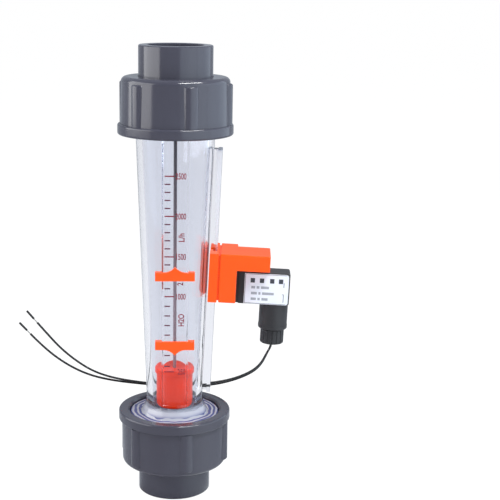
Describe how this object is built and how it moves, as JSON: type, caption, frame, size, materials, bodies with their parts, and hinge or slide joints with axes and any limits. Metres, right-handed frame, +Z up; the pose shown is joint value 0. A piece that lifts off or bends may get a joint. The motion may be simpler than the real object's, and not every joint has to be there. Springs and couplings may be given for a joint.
{
  "type": "rotameter",
  "caption": "Clear tapered tube flow meter with union nuts and pipe sockets, a float on a rod, limit pointers and a side alarm switch with loose wires.",
  "frame": {"origin": "centre of the lower socket's end face", "axes": "+Z up along the flow axis, -Y towards the viewer who reads the scale, +X towards the alarm switch"},
  "size_m": [0.1601, 0.0733, 0.264],
  "materials": {
    "grey_plastic": "smooth moulded",
    "clear_plastic": "clear moulded",
    "orange_plastic": "smooth moulded",
    "black_plastic": "fine matt",
    "seal_rubber": "smooth",
    "steel": "plain",
    "magnet": "plain",
    "reed_glass": "clear",
    "label": "printed film",
    "wire_insulation": "smooth"
  },
  "bodies": {
    "meter": {"lower_socket_end": "grey_plastic", "upper_socket_end": "grey_plastic", "lower_seal_ring": "seal_rubber", "upper_seal_ring": "seal_rubber", "metering_tube": "clear_plastic", "lower_rod_carrier": "clear_plastic", "upper_rod_carrier": "clear_plastic", "lower_float_stop": "clear_plastic", "upper_float_stop": "clear_plastic", "guide_rod": "steel"},
    "float": {"float_body": "orange_plastic", "float_cap": "orange_plastic", "float_magnet": "magnet"},
    "upper_pointer": {"upper_limit_pointer": "orange_plastic"},
    "lower_pointer": {"lower_limit_pointer": "orange_plastic"},
    "alarm_module": {"rail_clamp": "orange_plastic", "switch_housing": "orange_plastic", "clamp_screws": "steel", "reed_holder": "black_plastic", "reed_switch": "reed_glass", "plug_gasket": "seal_rubber", "plug_body": "black_plastic", "terminal_insert": "black_plastic", "contact_blades": "steel", "plug_screw": "steel", "rating_plate": "label", "gland_nut": "black_plastic", "gland_seal": "seal_rubber", "lead_wire_1": "wire_insulation", "lead_conductor_1": "steel", "lead_slug_1": "wire_insulation", "lead_wire_2": "wire_insulation", "lead_conductor_2": "steel", "lead_slug_2": "wire_insulation"},
    "lower_nut": {"lower_union_nut": "grey_plastic"},
    "upper_nut": {"upper_union_nut": "grey_plastic"}
  },
  "joints": [
    {"name": "float_rise", "type": "slide", "parent": "meter", "child": "float", "axis": [0, 0, 1], "range_m": [0, 0.1362]},
    {"name": "upper_pointer_slide", "type": "slide", "parent": "meter", "child": "upper_pointer", "axis": [0, -0.0392, 0.9992], "range_m": [-0.0178, 0.071]},
    {"name": "lower_pointer_slide", "type": "slide", "parent": "meter", "child": "lower_pointer", "axis": [0, -0.0392, 0.9992], "range_m": [-0.032, 0.0178]},
    {"name": "alarm_module_slide", "type": "slide", "parent": "meter", "child": "alarm_module", "axis": [0.0391, -0.0024, 0.9992], "range_m": [-0.048, 0.056]},
    {"name": "lower_nut_turn", "type": "hinge", "parent": "meter", "child": "lower_nut", "pos_m": [0, 0, 0.0175], "axis": [0, 0, 1], "continuous": true},
    {"name": "upper_nut_turn", "type": "hinge", "parent": "meter", "child": "upper_nut", "pos_m": [0, 0, 0.2465], "axis": [0, 0, 1], "continuous": true}
  ]
}
